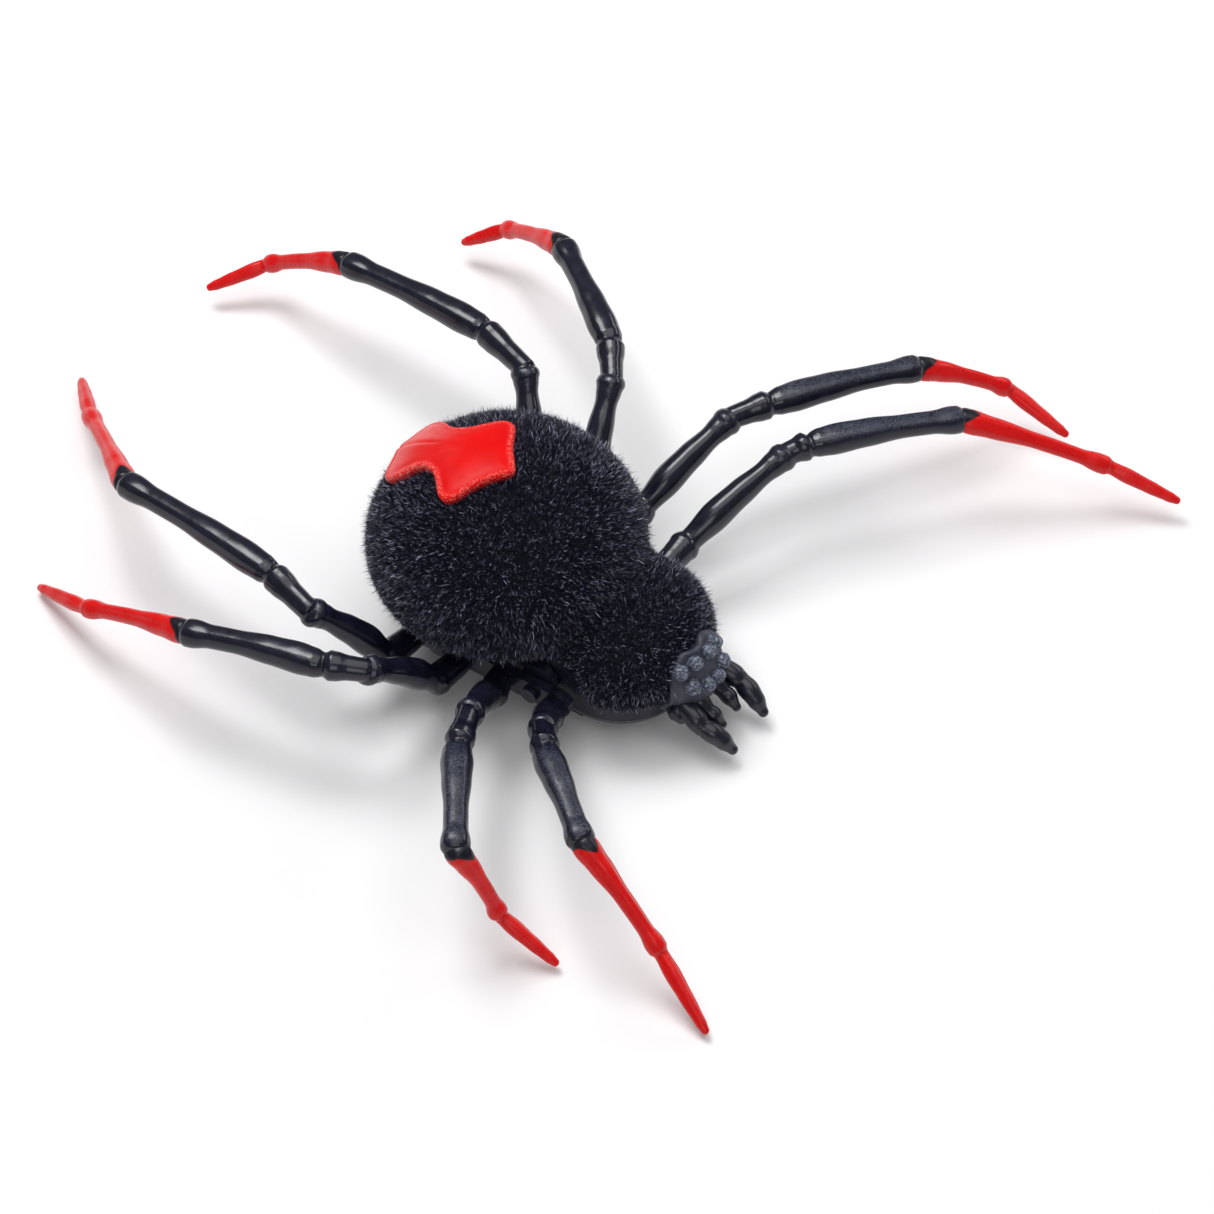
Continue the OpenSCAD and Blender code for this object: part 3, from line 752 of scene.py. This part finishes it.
def face_radius(dirs):
    """The face is a ball that spreads over the skin at its edges."""
    reach = body_reach(FACE, dirs)
    over_skin = reach + 0.35
    k = 1.2
    h = np.clip(0.5 + 0.5 * (over_skin - FACE_R) / k, 0, 1)
    return FACE_R * (1 - h) + over_skin * h + k * h * (1 - h) * 0.25


def build_face():
    around = 144
    out = 70
    roll = np.arange(around) * 2 * math.pi / around - math.pi
    edge = np.radians(face_edge(roll))
    rows = []
    for t in np.linspace(0.01, 1.12, out):
        angle = edge * t
        d = np.stack([np.cos(angle), np.sin(angle) * np.sin(roll), np.sin(angle) * np.cos(roll)], axis=-1)
        radius = face_radius(d) - 2.6 * smooth(np.full(around, t), 0.985, 1.12)
        brow = 0.35 * smooth(np.full(around, t), 0.80, 0.93) * (1 - smooth(np.full(around, t), 0.95, 1.0))
        rows.append(FACE + d * (radius + brow)[:, None])
    verts = np.concatenate(rows)
    for i, p in enumerate(verts):
        lump = noise.noise(Vector(p / 2.4)) * 0.16 + noise.noise(Vector(p / 0.9)) * 0.05
        verts[i] = p + unit(p - FACE) * lump
    verts[:, 2] = np.maximum(verts[:, 2], 6.2)
    faces = grid_faces(out, around)
    faces.append(tuple(range(around))[::-1])
    faces.append(tuple(range((out - 1) * around, out * around)))
    piece = make_piece("face_mask", verts, faces, head_matte)
    place(piece, "chassis", "head_plastic", "face_plate")


EYES = [(9.5, 17, 1.45), (17.5, 50, 1.45), (30, 22, 1.6), (45, 43, 1.55)]


FACE_TURN = -7                          # degrees: the eyes sit a little to the right on the face
FACE_DIP = -4                           # and a little low


def eye_shell(azimuth, elevation, size, seed):
    """A rough dome on the face, standing in a low collar."""
    az, el = math.radians(azimuth + FACE_TURN), math.radians(elevation + FACE_DIP)
    out = np.array([math.cos(az) * math.cos(el), math.sin(az) * math.cos(el), math.sin(el)])
    right = unit(np.cross([0, 0, 1.0], out))
    up = np.cross(out, right)
    around, rows = 40, 26
    angles = np.arange(around) * 2 * math.pi / around
    profile = []
    for t in np.linspace(0, 1, rows):
        a = t * math.pi / 2
        profile.append((size * math.cos(a) ** 0.8, 1.75 * math.sin(a) ** 0.9))
    profile = [(size + 0.05, -1.2), (size + 0.1, -0.1)] + profile[:-1]
    verts = []
    for r, h in profile:
        ring = FACE + out * (FACE_R - 0.1 + h) + r * (np.outer(np.cos(angles), right) + np.outer(np.sin(angles), up))
        verts.append(ring)
    verts = np.concatenate(verts)
    middle = FACE + out * FACE_R
    for i, p in enumerate(verts):
        q = Vector(p / 0.42) + Vector((seed, 0, 0))
        facet = noise.voronoi(q)[0]
        rough = 0.22 * (facet[1] - facet[0]) + 0.10 * noise.noise(q * 0.8)
        verts[i] = p + unit(p - middle) * rough
    faces = grid_faces(len(profile), around)
    faces.append(tuple(range(around))[::-1])
    faces.append(tuple(range((len(profile) - 1) * around, len(profile) * around)))
    return verts, faces


def build_eyes():
    verts, faces = [], []
    for k, (azimuth, elevation, size) in enumerate(EYES):
        for sign in (-1, 1):
            shell, shell_faces = eye_shell(sign * azimuth, elevation, size, 3.7 * k + sign)
            start = len(verts)
            verts.extend(shell.tolist())
            faces.extend([tuple(start + i for i in f) for f in shell_faces])
    piece = make_piece("eyes_rough", np.array(verts), faces, eye_frost)
    place(piece, "chassis", "head_plastic", "eyes")


OUTER_ROOT = [(0, 1.7), (0.5, 2.2), (1, 1.7)]
OUTER_BASE = [(0, 1.6), (0.35, 2.0), (0.8, 2.15), (1, 1.85)]
OUTER_END = [(0, 1.75), (0.3, 2.1), (0.65, 1.8), (1, 1.05)]
INNER_BASE = [(0, 1.8), (0.5, 1.9), (1, 1.55)]
INNER_END = [(0, 1.5), (0.35, 1.65), (1, 0.9)]


def build_feelers():
    outer, inner = [], []
    for s in (-1, 1):
        outer += [
            limb_shell([28.0, s * 5.7, 10.0], [34.6, s * 6.8, 7.4], OUTER_BASE, 0.4),
            limb_shell([34.3, s * 6.8, 7.6], [40.6, s * 5.4, 3.3], OUTER_END, 0.5, depth=0.9),
            limb_shell([27.6, s * 6.3, 9.0], [30.8, s * 7.2, 8.2], OUTER_ROOT),
        ]
        inner += [
            limb_shell([29.0, s * 2.5, 10.0], [33.4, s * 2.8, 7.3], INNER_BASE, 0.2),
            limb_shell([33.1, s * 2.8, 7.5], [36.4, s * 2.5, 5.0], INNER_END, 0.2, depth=0.9),
        ]
    for name, shells, node in (("feelers_outer", outer, "outer_palps"), ("feelers_inner", inner, "inner_palps")):
        piece = fuse(name, shells, 0.16, feeler_black, rounds=2)
        place(piece, "chassis", "leg_rubber", node)


head_matte = make_head_matte()
eye_frost = make_eye_frost()
feeler_black = make_feeler_black()
build_face()
build_eyes()
build_feelers()

# ---- Finishes of the frame's own nodes ----

plastic = glossy_black("moulded_black", 0.16, 0.30)
pan_black = glossy_black("pan_black", 0.2, 0.3, (0.008, 0.008, 0.016))
steel = metal("steel", (0.62, 0.62, 0.64), 0.22, 0.38)
can = metal("motor_can", (0.66, 0.66, 0.68), 0.28, 0.42, 2.0)
bronze = metal("bronze", (0.62, 0.42, 0.22), 0.3, 0.45)
nylon = dull("nylon", (0.78, 0.76, 0.70), 0.4, 0.55)
board = dull("board", (0.03, 0.16, 0.07), 0.4, 0.55)
wire = dull("wire_cover", (0.45, 0.02, 0.02), 0.4, 0.5)

FINISHES = [
    (plastic, ["upper_shell", "battery_cover", "rear_crank_left", "rear_crank_right", "front_crank_left",
               "front_crank_right", "side_rod_left", "side_rod_right", "rear_pin_caps", "front_pin_caps"]),
    (pan_black, ["belly_pan"]),
    (steel, ["cover_screw", "shell_screws", "drive_axle", "front_axle", "plate_posts", "switch_body",
             "button_cells"]),
    (can, ["motor"]),
    (bronze, ["axle_bushes", "cell_contacts"]),
    (nylon, ["motor_pinion", "compound_gear_1", "compound_gear_2", "drive_gear", "gear_plate_outer",
             "gear_plate_inner", "switch_knob"]),
    (board, ["circuit_board"]),
    (wire, ["wires"]),
]
for finish, names in FINISHES:
    for node_name in names:
        node_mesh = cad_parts[node_name].data
        node_mesh.materials.clear()
        node_mesh.materials.append(finish)

# ---- Stage, light and camera ----

FLOOR = 3.0
WORLD_LIGHT = 0.20


def build_floor():
    mesh = bpy.data.meshes.new("floor")
    corners = [(-FLOOR, -FLOOR, 0), (FLOOR, -FLOOR, 0), (FLOOR, FLOOR, 0), (-FLOOR, FLOOR, 0)]
    mesh.from_pydata(corners, [], [(0, 1, 2, 3)])
    p = Paint("floor_white", (0.86, 0.86, 0.87), 0.75)
    p.colour(p.blend(p.spread(p.speckle(60), 0.3, 0.7), (0.85, 0.85, 0.86), (0.87, 0.87, 0.88)))
    mesh.materials.append(p.mat)
    floor = bpy.data.objects.new("floor", mesh)
    bpy.context.scene.collection.objects.link(floor)


def area_light(name, place_at, size, power, target=(0, 0, 0.01), colour=(1, 1, 1)):
    light = bpy.data.lights.new(name, "AREA")
    light.shape = "RECTANGLE"
    light.size, light.size_y = size
    light.energy = power
    light.color = colour
    lamp = bpy.data.objects.new(name, light)
    bpy.context.scene.collection.objects.link(lamp)
    lamp.location = place_at
    aim = Vector(target) - Vector(place_at)
    lamp.rotation_euler = aim.to_track_quat("-Z", "Y").to_euler()


def build_light():
    world = bpy.data.worlds.new("studio")
    world.use_nodes = True
    background = world.node_tree.nodes["Background"]
    background.inputs["Color"].default_value = (1, 1, 1, 1)
    background.inputs["Strength"].default_value = WORLD_LIGHT
    bpy.context.scene.world = world
    area_light("key", (-0.42, 0.16, 0.85), (0.42, 0.42), 5.2)
    area_light("top", (0.05, 0.05, 1.1), (1.1, 1.1), 6.6)
    area_light("strip", (0.30, 0.80, 0.45), (0.8, 0.12), 1.6)
    area_light("fill", (0.55, -0.85, 0.75), (0.6, 0.6), 2.4)
    bpy.context.scene.view_settings.view_transform = "Standard"


CAMERA_AZIMUTH = math.radians(33.3)
CAMERA_ELEVATION = math.radians(50.0)
CAMERA_TARGET = Vector((0, 0.0132, 0))
CAMERA_DISTANCE = 1.0


def build_camera():
    data = bpy.data.cameras.new("camera")
    data.lens = 153.3
    data.sensor_width = 36.0
    data.clip_start = 0.05
    camera = bpy.data.objects.new("camera", data)
    bpy.context.scene.collection.objects.link(camera)
    back = Vector((math.sin(CAMERA_AZIMUTH) * math.cos(CAMERA_ELEVATION),
                   -math.cos(CAMERA_AZIMUTH) * math.cos(CAMERA_ELEVATION),
                   math.sin(CAMERA_ELEVATION)))
    camera.location = CAMERA_TARGET + back * CAMERA_DISTANCE
    camera.rotation_euler = (-back).to_track_quat("-Z", "Y").to_euler()
    bpy.context.scene.camera = camera


build_floor()
build_light()
build_camera()
